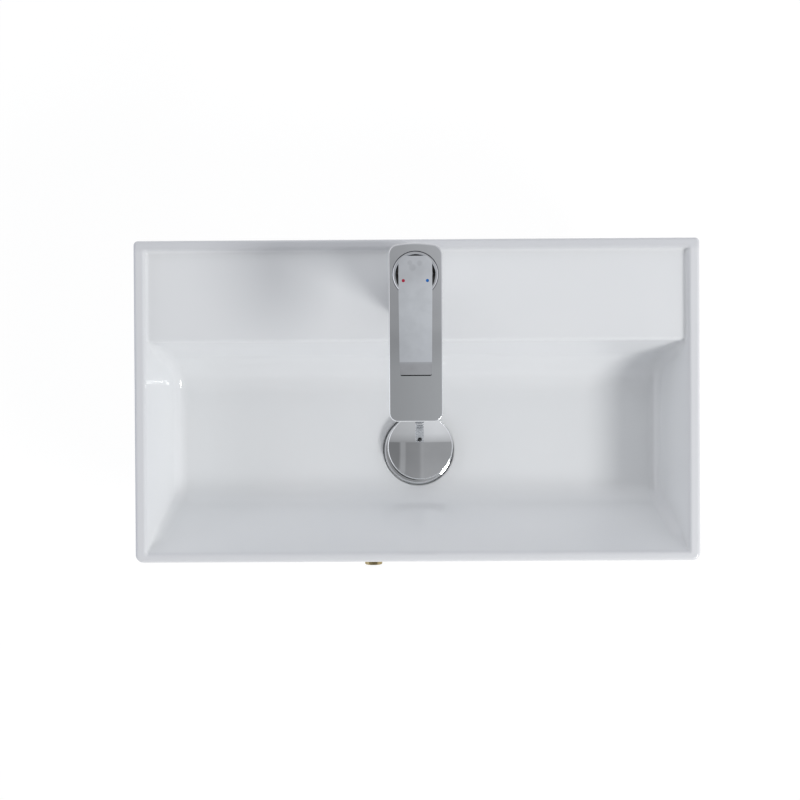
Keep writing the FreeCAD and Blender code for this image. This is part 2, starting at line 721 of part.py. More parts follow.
# ---------------------------------------------------------------- the supply hose
inlet = (-dim("inlet_x"), my - dim("inlet_y"))
fit_turn = turned(
    "fitting_turned",
    [(1.8, 12), (3.6, 12), (3.6, 30), (4.2, 30), (4.2, 58.5), (4.95, 59.2), (4.95, 69), (4.2, 70), (1.8, 70)],
    at=(*inlet, 0),
)
fit_hex = cut(
    "fitting_hex_bored",
    hexagon("fitting_hex", 10.5, 5.5, at=(*inlet, 30.5)),
    cylinder("fitting_hex_way", 3, 20, at=(*inlet, 25)),
)
keep("hose_inlet_fitting", fuse("fitting_whole", fit_turn, fit_hex))
keep(
    "hose_ferrule_top",
    turned("ferrule_top", [(3.65, 12), (6.1, 12), (6.7, 13), (6.7, 18), (6.4, 18.6), (6.4, 20.4), (6.7, 21), (6.7, 29), (6.2, 30), (3.65, 30)], at=(*inlet, 0)),
)

# The hose drops from the mixer and lies along the surface below, then turns to face the front.
GROUND = VALUES["ground"]
HR = VALUES["hose_radius"]
NUT_Z = GROUND + VALUES["nut_flats"] / 2
EX, EY = VALUES["hose_end_x"], -VALUES["hose_end_y"]
ROUTE = [
    (-VALUES["inlet_x"], MY - VALUES["inlet_y"], 12),
    (-VALUES["inlet_x"], MY - VALUES["inlet_y"], -26),
    (-11, -74, -73),
    (-17.5, -106, -112),
    (-28.5, -150, -140.5),
    (-43, -196, GROUND + HR),
    (-54, -245, GROUND + HR),
    (EX, -291, NUT_Z),
    (EX, EY, NUT_Z),
]


def hose_path(points):
    """Straight runs joined by tangent arcs."""
    p = [Vector(*q) for q in points]
    edges, at, radii = [], p[0], []
    for a, b, c in zip(p, p[1:], p[2:]):
        u, v = (b - a), (c - b)
        short = min(u.Length, v.Length)
        u.normalize()
        v.normalize()
        turn = u.getAngle(v)
        back_off = 0.45 * short
        radius = back_off / math.tan(turn / 2)
        start, end = b - u * back_off, b + v * back_off
        inward = (v - u).normalize()
        centre = b + inward * (radius / math.cos(turn / 2))
        middle = centre - inward * radius
        edges.append(Part.LineSegment(at, start).toShape())
        edges.append(Part.Arc(start, middle, end).toShape())
        radii.append((round(radius, 1), round(math.degrees(turn), 1)))
        at = end
    edges.append(Part.LineSegment(at, p[-1]).toShape())
    return Part.Wire(edges), radii


path, radii = hose_path(ROUTE)
runs = [(Vector(*b) - Vector(*a)).Length for a, b in zip(ROUTE, ROUTE[1:])]
start_circle = Part.Wire([Part.Circle(Vector(*ROUTE[0]), Vector(0, 0, 1), HR).toShape()])
tube = path.makePipeShell([start_circle], True, False)
hose = doc.addObject("Part::Feature", "supply_hose_tube")
hose.Shape = tube
hose.Placement = Placement()
keep("supply_hose", hose)
print("hose runs mm", [round(r, 1) for r in runs])
print("hose bends mm, deg", radii, "least allowed", 10 * HR)
print("hose length mm", round(path.Length, 1), "volume ratio", round(tube.Volume / (math.pi * HR * HR * path.Length), 5))

# the end lies on its side: its profiles are turned about an axis that points to the front
end_at = (dim("hose_end_x"), 0, dim("ground") + dim("nut_flats") / 2)
ex, ez = dim("hose_end_x"), dim("ground") + dim("nut_flats") / 2
front = (0, -1, 0)
hend = dim("hose_end_y")
keep(
    "hose_ferrule_end",
    turned("ferrule_end", [(3.65, 0), (6.1, 0), (6.7, 1), (6.7, 8), (6.4, 8.6), (6.4, 10.4), (6.7, 11), (6.7, 19), (6.2, 20), (3.65, 20)], at=(ex, -hend, ez), direction=front),
)
keep(
    "hose_end_tail",
    turned("end_tail", [(2.4, 0), (3.6, 0), (3.6, 20), (6, 20.1), (6, 32), (7.7, 32), (7.7, 34.5), (2.4, 34.5)], at=(ex, -hend, ez), direction=front),
)
nut_long = dim("nut_end_y") - hend - 28.9
nut_hex = hexagon("hose_nut_hex", dim("nut_flats"), nut_long, at=(ex, -hend - 28.9, ez), direction=front)
nut_chamfer = turned(
    "hose_nut_chamfer",
    [(0, 28.9), (9.9, 28.9), (11.2, 30.2), (11.2, 42.6), (9.8, 43.9), (0, 43.9)],
    at=(ex, -hend, ez),
    direction=front,
)
nut_shape = common("hose_nut_shape", nut_hex, nut_chamfer)
keep(
    "hose_nut",
    cut(
        "hose_nut_bored",
        nut_shape,
        cylinder("nut_neck_way", 6.4, 40, at=(ex, -hend - 20, ez), direction=front),
        cylinder("nut_thread_way", 8.3, 30, at=(ex, -hend - 31.5, ez), direction=front),
        cylinder("nut_undercut", 8.6, 5.7, at=(ex, -hend - 31.5, ez), direction=front),
    ),
)
keep("hose_nut_washer", turned("nut_washer", [(4, 0), (8.0, 0), (8.0, 2), (4, 2)], at=(ex, -hend - 34.8, ez), direction=front))

# ---------------------------------------------------------------- the waste
wx, wy = waste_at
body_turn = turned(
    "waste_turned",
    [
        (dim("waste_thread"), -25.5), (dim("flange_radius") - 0.6, -25.5), (dim("flange_radius"), -24.9), (dim("flange_radius"), -23.2),
        (dim("flange_radius") - 0.7, -22.2), (dim("flange_radius") - 2.2, -21.5), (dim("flange_radius") - 4.6, -21.3),
        (dim("flange_radius") - 6.4, -22.2), (30.5, -23.0), (20, -23.8), (dim("waste_bore"), -26), (dim("waste_bore"), -110),
        (dim("waste_thread"), -110),
    ],
    at=(wx, wy, 0),
)
plug_at = (wx + dim("plug_x"), wy + dim("plug_y"))
spider = [cylinder("spider_hub", 7, 10, at=(*plug_at, -84))]
for i, (low, high) in enumerate((((-18, -1.5), (18, 1.5)), ((-1.5, -18), (1.5, 18)))):
    spider.append(block(f"spider_arm_{i}", (wx + low[0], wy + low[1], -83), (wx + high[0], wy + high[1], -76)))
waste_whole = fuse("waste_whole", body_turn, *spider)
keep("waste_body", cut("waste_body_bored", waste_whole, cylinder("spider_way", 4.3, 30, at=(*plug_at, -95))))
keep(
    "waste_latch_housing",
    turned("latch_turned", [(0, -84), (4.25, -84), (4.25, -74), (8.5, -73.9), (8.5, -31), (7.8, -30.2), (5.4, -30.2), (5.4, -70.5), (0, -70.5)], at=(*plug_at, 0)),
)

# the sprung plug slides in its latch, which stands off the waste's centre
PIVOT_Z = -50.0


def on_plug(obj):
    """Puts a piece, drawn about the foot of the plug's stem, on the latch's axis."""
    return place(obj, (*plug_at, PIVOT_Z))


up = -PIVOT_Z  # heights below are given above the foot
cap_r = dim("cap_radius")
cap_turn = turned(
    "cap_turned",
    [
        (0, up - 24.5), (6.5, up - 24.5), (6.5, up - 14.4), (cap_r - 3.2, up - 14.4), (cap_r - 3.2, up - 16),
        (cap_r - 0.8, up - 16), (cap_r, up - 15.4), (cap_r, up), (0, up),
    ],
)
cap_boss = common("cap_dome", cap_turn, ball("cap_dome_ball", dim("cap_ball"), at=(0, 0, up - 5.2 - dim("cap_ball"))))
cap_boss = softened(
    "cap_soft", cap_boss, [(2.2, lambda e: abs(e.BoundBox.ZMin - e.BoundBox.ZMax) < 1e-3 and up - 12.8 < e.BoundBox.ZMin < up - 12)]
)
cap_cut = cut("cap_tapped", cap_boss, cylinder("cap_thread", 3.05, 16, at=(0, 0, up - 26)))
keep("waste_cap", on_plug(cap_cut))
keep("waste_cap_seal", on_plug(turned("cap_seal", [(24, up - 14.45), (31, up - 14.45), (31.6, up - 15.2), (30, up - 16.5), (28, up - 16.5), (26.5, up - 15.9), (24, up - 15.9)])))
keep(
    "waste_plunger",
    on_plug(turned("plunger_turned", [(0, -1), (4.5, -1), (4.5, 5), (3.4, 6.5), (3.4, 25.4), (3.0, 25.5), (3.0, up - 13), (0, up - 13)])),
)
coil = Part.makeHelix(3.2, 17.9, 3.9)
coil_start = Part.Wire([Part.Circle(Vector(3.9, 0, 0), Vector(0, 1, 0), 0.45).toShape()])
spring = doc.addObject("Part::Feature", "spring_coil")
spring.Shape = Part.Wire([coil]).makePipeShell([coil_start], True, True)
spring.Placement = Placement(Vector(plug_at[0].value, plug_at[1].value, -69.9), Rotation())
keep("waste_spring", spring)

keep("waste_top_washer", turned("top_washer", [(23.2, -27.5), (36.5, -27.5), (36.5, -25.55), (23.2, -25.55)], at=(wx, wy, 0)))
keep("waste_taper_washer", turned("taper_washer", [(20.95, -42), (30, -42), (30, -44), (25.5, -50), (20.95, -50)], at=(wx, wy, 0)))
keep("waste_slip_washer", turned("slip_washer", [(20.95, -52), (30.5, -52), (30.5, -50.05), (20.95, -50.05)], at=(wx, wy, 0)))
backnut_hex = hexagon("backnut_hex", 54, 9, at=(wx, wy, -61.2))
backnut_flange = cylinder("backnut_flange", 30, 2.2, at=(wx, wy, -54.25))
backnut = fuse("backnut_whole", backnut_hex, backnut_flange)
keep("waste_backnut", cut("backnut_bored", backnut, cylinder("backnut_way", 20.95, 30, at=(wx, wy, -70))))
ground = dim("ground")
tail_r = dim("tail_radius")
keep(
    "tail_pipe",
    turned(
        "tail_turned",
        [
            (tail_r - 1.3, ground), (tail_r, ground), (tail_r, -117), (20.5, -115.5), (20.5, -111.7), (17.42, -111.7), (17.42, -90), (tail_r - 1.3, -90),
        ],
        at=(wx, wy, 0),
    ),
)
keep("tail_seal", turned("tail_ring", [(17.6, -111.6), (20.7, -111.6), (20.7, -110.05), (17.6, -110.05)], at=(wx, wy, 0)))

# ---------------------------------------------------------------- test and write
doc.recompute()
for obj in doc.Objects:
    bad = [s for s in obj.State if s in ("Invalid", "Error")]
    if bad:
        raise RuntimeError(f"{obj.Name} failed: {obj.State} {obj.getStatusString()}")
os.makedirs("parts", exist_ok=True)
for node, obj in PARTS.items():
    shape = obj.Shape
    if shape.isNull() or not shape.isValid() or not shape.Solids:
        raise RuntimeError(f"{node} has no valid solid")
    if len(shape.Solids) != 1:
        raise RuntimeError(f"{node} has {len(shape.Solids)} solids")
    box = shape.BoundBox
    print(
        f"{node:22s} {shape.Volume / 1000:9.2f} cm3  x {box.XMin:8.2f} {box.XMax:8.2f}  y {box.YMin:8.2f} {box.YMax:8.2f}  z {box.ZMin:8.2f} {box.ZMax:8.2f}"
    )
    shape.exportStep(f"parts/{node}.step")
print(len(PARTS), "parts")
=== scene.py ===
import json
import math

import bmesh
import bpy
import numpy as np
from mathutils import Matrix, Vector


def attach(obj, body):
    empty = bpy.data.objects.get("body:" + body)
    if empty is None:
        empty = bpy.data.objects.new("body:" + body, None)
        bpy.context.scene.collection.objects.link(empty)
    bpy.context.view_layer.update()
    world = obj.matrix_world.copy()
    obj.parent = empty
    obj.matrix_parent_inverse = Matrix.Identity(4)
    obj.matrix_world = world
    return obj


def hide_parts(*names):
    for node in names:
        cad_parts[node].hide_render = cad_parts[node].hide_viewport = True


# A wall-held ceramic wash basin with a single-lever mixer, a raised pop-up cap and a braided hose,
# seen from straight above in soft studio light.

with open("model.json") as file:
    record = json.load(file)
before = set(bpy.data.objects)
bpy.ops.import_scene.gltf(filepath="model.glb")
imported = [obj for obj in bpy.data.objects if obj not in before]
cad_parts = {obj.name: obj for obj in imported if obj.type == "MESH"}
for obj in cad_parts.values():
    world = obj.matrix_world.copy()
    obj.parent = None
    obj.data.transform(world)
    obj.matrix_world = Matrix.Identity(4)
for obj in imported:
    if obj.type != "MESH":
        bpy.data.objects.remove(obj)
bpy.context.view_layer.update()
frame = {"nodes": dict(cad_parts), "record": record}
scene = bpy.context.scene
nodes = frame["nodes"]
MM = 0.001

scene.view_settings.view_transform = "Standard"
scene.view_settings.look = "None"

# ------------------------------------------------------------------ camera
# height, nadir, roll and small tilts of the camera above the basin
cam_data = bpy.data.cameras.new("camera")
cam = bpy.data.objects.new("camera", cam_data)
scene.collection.objects.link(cam)
scene.camera = cam
roll, tilt_x, tilt_y = 0.0055, 0.00675, -0.00579
turn = Matrix.Rotation(roll, 3, "Z") @ Matrix.Rotation(tilt_x, 3, "X") @ Matrix.Rotation(tilt_y, 3, "Y")
cam.matrix_world = Matrix.Translation((0.00502, -0.2157, 1.15927)) @ turn.transposed().to_4x4()
cam_data.sensor_width = 36
cam_data.lens = 46.53
cam_data.shift_x = -0.01977
cam_data.shift_y = 0.0621
cam_data.clip_start = 0.01

# ------------------------------------------------------------------ the supply hose
GROUND = -0.166
HOSE_R = 0.0055
ROUTE = [
    (-0.0085, -0.0635, 0.012),
    (-0.0085, -0.0635, -0.026),
    (-0.011, -0.074, -0.073),
    (-0.0175, -0.106, -0.112),
    (-0.0285, -0.150, -0.1405),
    (-0.043, -0.196, -0.1605),
    (-0.054, -0.245, -0.1605),
    (-0.057, -0.291, -0.1565),
    (-0.057, -0.3262, -0.1565),
]


def spline_curve(name, points, bevel):
    data = bpy.data.curves.new(name, "CURVE")
    data.dimensions = "3D"
    line = data.splines.new("NURBS")
    line.points.add(len(points) - 1)
    for p, q in zip(line.points, points):
        p.co = (*q, 1)
    line.order_u = 3
    line.use_endpoint_u = True
    line.resolution_u = 16
    data.bevel_depth = bevel
    data.bevel_resolution = 6
    obj = bpy.data.objects.new(name, data)
    scene.collection.objects.link(obj)
    return obj


def centreline(points):
    """Points read from the route's own spline, made with no bevel."""
    tmp = spline_curve("route_reading", points, 0)
    bpy.context.view_layer.update()
    mesh = bpy.data.meshes.new_from_object(tmp)
    line = np.array([v.co for v in mesh.vertices], float)
    bpy.data.meshes.remove(mesh)
    data = tmp.data
    bpy.data.objects.remove(tmp)
    bpy.data.curves.remove(data)
    return line


def resampled(line, step):
    d = np.r_[0, np.cumsum(np.linalg.norm(np.diff(line, axis=0), axis=1))]
    n = max(2, int(round(d[-1] / step)) + 1)
    at = np.linspace(0, d[-1], n)
    return np.stack([np.interp(at, d, line[:, k]) for k in range(3)], 1), at


def frames_along(line):
    """Tangents with two steady cross directions along a line."""
    t = np.gradient(line, axis=0)
    t /= np.linalg.norm(t, axis=1)[:, None]
    u = np.zeros_like(t)
    start = np.array([1.0, 0, 0])
    u[0] = start - t[0] * (start @ t[0])
    u[0] /= np.linalg.norm(u[0])
    for i in range(1, len(t)):
        v = u[i - 1] - t[i] * (u[i - 1] @ t[i])
        u[i] = v / np.linalg.norm(v)
    return t, u, np.cross(t, u)


def mesh_object(name, verts, faces, smooth=True):
    mesh = bpy.data.meshes.new(name)
    mesh.from_pydata([tuple(map(float, v)) for v in verts], [], [tuple(map(int, f)) for f in faces])
    mesh.validate()
    if smooth:
        mesh.polygons.foreach_set("use_smooth", [True] * len(mesh.polygons))
    mesh.update()
    obj = bpy.data.objects.new(name, mesh)
    scene.collection.objects.link(obj)
    return obj


line, along = resampled(centreline(ROUTE), 0.0009)


def tube(name, line, radius, steps=28):
    """A closed tube about a line."""
    t, u, w = frames_along(line)
    verts, faces = [], []
    for i in range(len(line)):
        for k in range(steps):
            a = 2 * math.pi * k / steps
            verts.append(line[i] + (u[i] * math.cos(a) + w[i] * math.sin(a)) * radius)
    for i in range(len(line) - 1):
        for k in range(steps):
            j = (k + 1) % steps
            faces.append((i * steps + k, i * steps + j, (i + 1) * steps + j, (i + 1) * steps + k))
    faces.append(tuple(range(steps))[::-1])
    faces.append(tuple(range((len(line) - 1) * steps, len(line) * steps)))
    return mesh_object(name, verts, faces)


coarse, _ = resampled(line, 0.003)
hose = tube("hose_tube", coarse, HOSE_R)


def braid(line, along, radius, carriers=12, pitch=0.030):
    """Woven bands of wire round the hose: each band passes over one and under the next."""
    t, u, w = frames_along(line)
    verts, faces = [], []
    section = [(-1.0, 0.0), (-0.72, 0.55), (-0.4, 0.12), (0.0, 0.62), (0.4, 0.12), (0.72, 0.55), (1.0, 0.0)]
    half_width = 0.00092
    for hand in (1, -1):
        for k in range(carriers):
            base = len(verts)
            for i, s in enumerate(along):
                a = hand * 2 * math.pi * s / pitch + 2 * math.pi * k / carriers
                # neighbours on one hand take turns at passing over
                phase = 2 * math.pi * s / pitch * carriers
                lift = hand * math.sin(phase + math.pi * (k % 2))
                out = u[i] * math.cos(a) + w[i] * math.sin(a)
                tang = (-u[i] * math.sin(a) + w[i] * math.cos(a)) * hand
                run = tang * (2 * math.pi * radius) + t[i] * pitch
                run /= np.linalg.norm(run)
                across = np.cross(out, run)
                for x, h in section:
                    r = radius + 0.00006 + 0.00012 * lift + 0.00020 * h
                    point = line[i] + out * r + across * x * half_width
                    point[2] = max(point[2], GROUND + 0.00003)
                    verts.append(point)
            n = len(section)
            for i in range(len(along) - 1):
                for j in range(n - 1):
                    a0 = base + i * n + j
                    quad = (a0, a0 + 1, a0 + n + 1, a0 + n)
                    faces.append(quad if hand > 0 else quad[::-1])
    return verts, faces


bv, bf = braid(line, along, HOSE_R)
hose_braid = mesh_object("hose_braid", bv, bf)
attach(hose, "sink")
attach(hose_braid, "sink")
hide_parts("supply_hose")

# ------------------------------------------------------------------ materials


def new_material(name):
    mat = bpy.data.materials.new(name)
    mat.use_nodes = True
    nt = mat.node_tree
    nt.nodes.clear()
    out = nt.nodes.new("ShaderNodeOutputMaterial")
    bsdf = nt.nodes.new("ShaderNodeBsdfPrincipled")
    nt.links.new(bsdf.outputs[0], out.inputs[0])
    return mat, nt, bsdf


def coords(nt, scale=(1, 1, 1)):
    tc = nt.nodes.new("ShaderNodeTexCoord")
    mp = nt.nodes.new("ShaderNodeMapping")
    mp.inputs["Scale"].default_value = scale
    nt.links.new(tc.outputs["Object"], mp.inputs["Vector"])
    return mp.outputs["Vector"]


def noise(nt, vector, scale, detail=3.0, rough=0.5):
    n = nt.nodes.new("ShaderNodeTexNoise")
    n.inputs["Scale"].default_value = scale
    n.inputs["Detail"].default_value = detail
    n.inputs["Roughness"].default_value = rough
    nt.links.new(vector, n.inputs["Vector"])
    return n.outputs["Fac"]


def ramp(nt, fac, stops):
    r = nt.nodes.new("ShaderNodeValToRGB")
    while len(r.color_ramp.elements) < len(stops):
        r.color_ramp.elements.new(0.5)
    for e, (at, colour) in zip(r.color_ramp.elements, stops):
        e.position = at
        e.color = (*colour, 1) if len(colour) == 3 else colour
    nt.links.new(fac, r.inputs["Fac"])
    return r.outputs["Color"]


def between(nt, fac, low, high, a=0.3, b=0.7):
    m = nt.nodes.new("ShaderNodeMapRange")
    m.inputs["From Min"].default_value = a
    m.inputs["From Max"].default_value = b
    m.inputs["To Min"].default_value = low
    m.inputs["To Max"].default_value = high
    nt.links.new(fac, m.inputs["Value"])
    return m.outputs["Result"]


def bump(nt, bsdf, height, strength, distance, after=None):
    b = nt.nodes.new("ShaderNodeBump")
    b.inputs["Strength"].default_value = strength
    b.inputs["Distance"].default_value = distance
    nt.links.new(height, b.inputs["Height"])
    if after is not None:
        nt.links.new(after, b.inputs["Normal"])
    nt.links.new(b.outputs["Normal"], bsdf.inputs["Normal"])
    return b.outputs["Normal"]


def grey(v, tint=(1, 1, 1)):
    return tuple(v * t for t in tint)


def glaze_material():
    mat, nt, b = new_material("glaze")
    v = coords(nt)
    cloud = noise(nt, v, 9, 2.0)
    body = ramp(nt, cloud, [(0.25, (0.845, 0.862, 0.872)), (0.75, (0.870, 0.882, 0.888))])
    # painted shade: the rim's top is painted a darker grey than the bowl, darker still toward the rear, and the left
    # rim's outer edge gets a painted shadow line
    place = nt.nodes.new("ShaderNodeSeparateXYZ")
    nt.links.new(v, place.inputs[0])
    rim = between(nt, place.outputs["Z"], 0.0, 1.0, 0.0600, 0.0640)
    rear = between(nt, place.outputs["Y"], 0.0, 1.0, -0.013, -0.009)
    # painted shade on the rim: a lighter grey to the front, a darker grey to the rear
    rim_painted_shade = nt.nodes.new("ShaderNodeMix")
    rim_painted_shade.data_type = "RGBA"
    nt.links.new(rear, rim_painted_shade.inputs["Factor"])
    rim_painted_shade.inputs[6].default_value = (0.79, 0.80, 0.815, 1)
    rim_painted_shade.inputs[7].default_value = (0.73, 0.74, 0.76, 1)
    # painted shadow: a thin blue-grey line along the outer edge of the left rim
    left_rim_painted_shadow = nt.nodes.new("ShaderNodeMix")
    left_rim_painted_shadow.data_type = "RGBA"
    nt.links.new(between(nt, place.outputs["X"], 1.0, 0.0, -0.2998, -0.2965), left_rim_painted_shadow.inputs["Factor"])
    nt.links.new(rim_painted_shade.outputs[2], left_rim_painted_shadow.inputs[6])
    left_rim_painted_shadow.inputs[7].default_value = (0.56, 0.59, 0.66, 1)
    over = nt.nodes.new("ShaderNodeMix")
    over.data_type = "RGBA"
    nt.links.new(rim, over.inputs["Factor"])
    nt.links.new(body, over.inputs[6])
    nt.links.new(left_rim_painted_shadow.outputs[2], over.inputs[7])
    nt.links.new(over.outputs[2], b.inputs["Base Color"])
    nt.links.new(between(nt, noise(nt, v, 130, 3.0), 0.045, 0.075), b.inputs["Roughness"])
    b.inputs["IOR"].default_value = 1.52
    b.inputs["Coat Weight"].default_value = 0.35
    b.inputs["Coat Roughness"].default_value = 0.03
    first = bump(nt, b, noise(nt, v, 16, 1.0), 0.25, 0.0006)
    bump(nt, b, noise(nt, v, 240, 2.0), 0.10, 0.00008, first)
    return mat


def chrome_material(name, colour, rough=(0.016, 0.032), wave=0.10, haze=0.96, front=None):
    mat, nt, b = new_material(name)
    v = coords(nt)
    tone = ramp(nt, noise(nt, v, 60, 3.0), [(0.3, tuple(c * haze for c in colour)), (0.7, colour)])
    if front:
        place = nt.nodes.new("ShaderNodeSeparateXYZ")
        nt.links.new(v, place.inputs[0])
        mix = nt.nodes.new("ShaderNodeMix")
        mix.data_type = "RGBA"
        # painted highlight: the base colour is lightened toward the spout's end, on its upper face
        part = nt.nodes.new("ShaderNodeMath")
        part.operation = "MULTIPLY"
        nt.links.new(between(nt, place.outputs["Y"], 0.0, 1.0, -0.098, -0.150), part.inputs[0])
        nt.links.new(between(nt, place.outputs["Z"], 0.0, 1.0, *front[3:]), part.inputs[1])
        nt.links.new(part.outputs[0], mix.inputs["Factor"])
        nt.links.new(tone, mix.inputs[6])
        mix.inputs[7].default_value = (*front[:3], 1)
        tone = mix.outputs[2]
    nt.links.new(tone, b.inputs["Base Color"])
    b.inputs["Metallic"].default_value = 1.0
    nt.links.new(between(nt, noise(nt, v, 95, 5.0, 0.65), rough[0], rough[1]), b.inputs["Roughness"])
    bump(nt, b, noise(nt, v, 45, 1.0), wave, 0.0002)
    return mat


def lever_material():
    """Chrome with painted light along the blade: lightest along its middle, painted darker at the tip and over the hub;
    a faint cloudy haze all over and three dried drops over the hub.
    """
    mat, nt, b = new_material("chrome_lever")
    v = coords(nt)
    place = nt.nodes.new("ShaderNodeSeparateXYZ")
    nt.links.new(v, place.inputs[0])
    # painted highlight and shade: lightest along the middle of the blade, painted darker at its tip and over the hub
    blade_painted_sheen = ramp(
        nt,
        between(nt, place.outputs["Y"], 0.0, 1.0, -0.155, -0.040),
        [(0.0, (0.84, 0.85, 0.875)), (0.09, (0.85, 0.86, 0.885)), (0.115, (0.93, 0.96, 1.0)), (0.62, (0.935, 0.965, 1.0)), (0.80, (0.82, 0.84, 0.87)), (1.0, (0.79, 0.81, 0.84))],
    )
    cloudy = nt.nodes.new("ShaderNodeMix")
    cloudy.data_type = "RGBA"
    cloudy.blend_type = "MULTIPLY"
    cloudy.inputs["Factor"].default_value = 1.0
    nt.links.new(blade_painted_sheen, cloudy.inputs[6])
    nt.links.new(ramp(nt, noise(nt, v, 75, 2.0), [(0.3, (0.93, 0.93, 0.93)), (0.6, (1, 1, 1))]), cloudy.inputs[7])
    tone = cloudy.outputs[2]
    # three faint dried drops over the hub
    for at, r in (((-0.0026, -0.0560), 0.0040), ((0.0038, -0.0520), 0.0030), ((-0.0050, -0.0515), 0.0028)):
        flat = nt.nodes.new("ShaderNodeVectorMath")
        flat.operation = "MULTIPLY"
        flat.inputs[1].default_value = (1, 1, 0)
        nt.links.new(v, flat.inputs[0])
        far = nt.nodes.new("ShaderNodeVectorMath")
        far.operation = "DISTANCE"
        far.inputs[1].default_value = (*at, 0)
        nt.links.new(flat.outputs[0], far.inputs[0])
        drop = nt.nodes.new("ShaderNodeMix")
        drop.data_type = "RGBA"
        drop.blend_type = "MULTIPLY"
        nt.links.new(between(nt, far.outputs["Value"], 1.0, 0.0, r * 0.55, r), drop.inputs["Factor"])
        nt.links.new(tone, drop.inputs[6])
        drop.inputs[7].default_value = (0.90, 0.90, 0.90, 1)
        tone = drop.outputs[2]
    nt.links.new(tone, b.inputs["Base Color"])
    b.inputs["Metallic"].default_value = 1.0
    nt.links.new(between(nt, noise(nt, v, 95, 5.0, 0.65), 0.018, 0.04), b.inputs["Roughness"])
    bump(nt, b, noise(nt, v, 45, 1.0), 0.10, 0.0002)
    return mat


def metal_material(name, low, high, rough, lines=None, oxide=None):
    mat, nt, b = new_material(name)
    v = coords(nt)
    stops = [(0.3, low), (0.7, high)]
    if oxide:
        stops.insert(0, (0.18, oxide))
    nt.links.new(ramp(nt, noise(nt, v, 180, 6.0, 0.6), stops), b.inputs["Base Color"])
    b.inputs["Metallic"].default_value = 1.0
    nt.links.new(between(nt, noise(nt, v, 420, 4.0), rough[0], rough[1]), b.inputs["Roughness"])
    if lines:
        w = nt.nodes.new("ShaderNodeTexWave")
        w.wave_type = "BANDS"
        w.bands_direction = lines[0]
        w.inputs["Scale"].default_value = lines[1]
        w.inputs["Distortion"].default_value = 0.6
        w.inputs["Detail"].default_value = 2.0
        nt.links.new(v, w.inputs["Vector"])
        bump(nt, b, w.outputs["Fac"], 0.25, 0.00006)
    return mat


def plain_material(name, low, high, rough, grain=700, depth=0.00005, strength=0.3, spec=0.5):
    """Moulded plastic, rubber or enamel with a fine moulded grain."""
    mat, nt, b = new_material(name)
    v = coords(nt)
    nt.links.new(ramp(nt, noise(nt, v, 55, 4.0), [(0.3, low), (0.7, high)]), b.inputs["Base Color"])
    nt.links.new(between(nt, noise(nt, v, 260, 4.0), rough[0], rough[1]), b.inputs["Roughness"])
    b.inputs["Specular IOR Level"].default_value = spec
    bump(nt, b, noise(nt, v, grain, 3.0), strength, depth)
    return mat


def alumina_material():
    mat, nt, b = new_material("alumina")
    v = coords(nt)
    nt.links.new(ramp(nt, noise(nt, v, 900, 3.0), [(0.3, (0.80, 0.78, 0.74)), (0.7, (0.88, 0.87, 0.84))]), b.inputs["Base Color"])
    nt.links.new(between(nt, noise(nt, v, 300), 0.16, 0.26), b.inputs["Roughness"])
    return mat


def wire_material():
    """Bright drawn wire, with a fine bumped grain and duller places at random."""
    mat, nt, b = new_material("braid_wire")
    v = coords(nt)
    nt.links.new(ramp(nt, noise(nt, v, 900, 4.0), [(0.3, (0.38, 0.39, 0.40)), (0.75, (0.62, 0.63, 0.64))]), b.inputs["Base Color"])
    b.inputs["Metallic"].default_value = 1.0
    nt.links.new(between(nt, noise(nt, v, 600, 3.0), 0.22, 0.40), b.inputs["Roughness"])
    bump(nt, b, noise(nt, v, 2600, 2.0), 0.35, 0.00004)
    return mat


MATS = {
    "glaze": glaze_material(),
    # front: the colour of the spout's painted highlight and the height band of the upper face it lightens
    "chrome_body": chrome_material("chrome_body", (0.69, 0.70, 0.715), rough=(0.03, 0.055), front=(0.90, 0.92, 0.935, 0.192, 0.202)),
    "chrome_ring": chrome_material("chrome_ring", (0.72, 0.73, 0.745)),
    "chrome_lever": lever_material(),
    "chrome_cap": chrome_material("chrome_cap", (0.80, 0.81, 0.82)),
    "dull_metal": metal_material("dull_metal", (0.17, 0.165, 0.155), (0.25, 0.24, 0.22), (0.35, 0.5), ("Y", 900), (0.04, 0.03, 0.02)),
    "brass": metal_material("brass", (0.30, 0.23, 0.11), (0.50, 0.41, 0.22), (0.22, 0.38), ("Y", 900), (0.14, 0.10, 0.05)),
    "steel": metal_material("steel", (0.46, 0.46, 0.46), (0.60, 0.60, 0.61), (0.2, 0.34), ("X", 1200)),
    "zinc": metal_material("zinc", (0.42, 0.43, 0.42), (0.58, 0.58, 0.56), (0.32, 0.5), ("Z", 700)),
    "braid": plain_material("hose_core", (0.02, 0.02, 0.02), (0.05, 0.05, 0.05), (0.5, 0.7)),
    "braid_wire": wire_material(),
    "black_rubber": plain_material("black_rubber", (0.015, 0.015, 0.016), (0.035, 0.035, 0.036), (0.55, 0.75), 900, 0.00008, 0.5),
    "white_rubber": plain_material("white_rubber", (0.66, 0.66, 0.63), (0.76, 0.76, 0.73), (0.6, 0.8), 1400, 0.0001, 0.6),
    "white_plastic": plain_material("white_plastic", (0.72, 0.72, 0.70), (0.80, 0.80, 0.78), (0.28, 0.4)),
    "grey_plastic": plain_material("grey_plastic", (0.24, 0.25, 0.26), (0.31, 0.32, 0.33), (0.3, 0.45)),
    "outlet_black": plain_material("outlet_black", (0.012, 0.012, 0.013), (0.03, 0.03, 0.032), (0.3, 0.45)),
    "alumina": alumina_material(),
    "red_enamel": plain_material("red_enamel", (0.34, 0.010, 0.035), (0.44, 0.015, 0.05), (0.12, 0.2)),
    "blue_enamel": plain_material("blue_enamel", (0.005, 0.12, 0.42), (0.008, 0.16, 0.52), (0.12, 0.2)),
}


def dress(obj, mat):
    obj.data.materials.clear()
    obj.data.materials.append(mat)


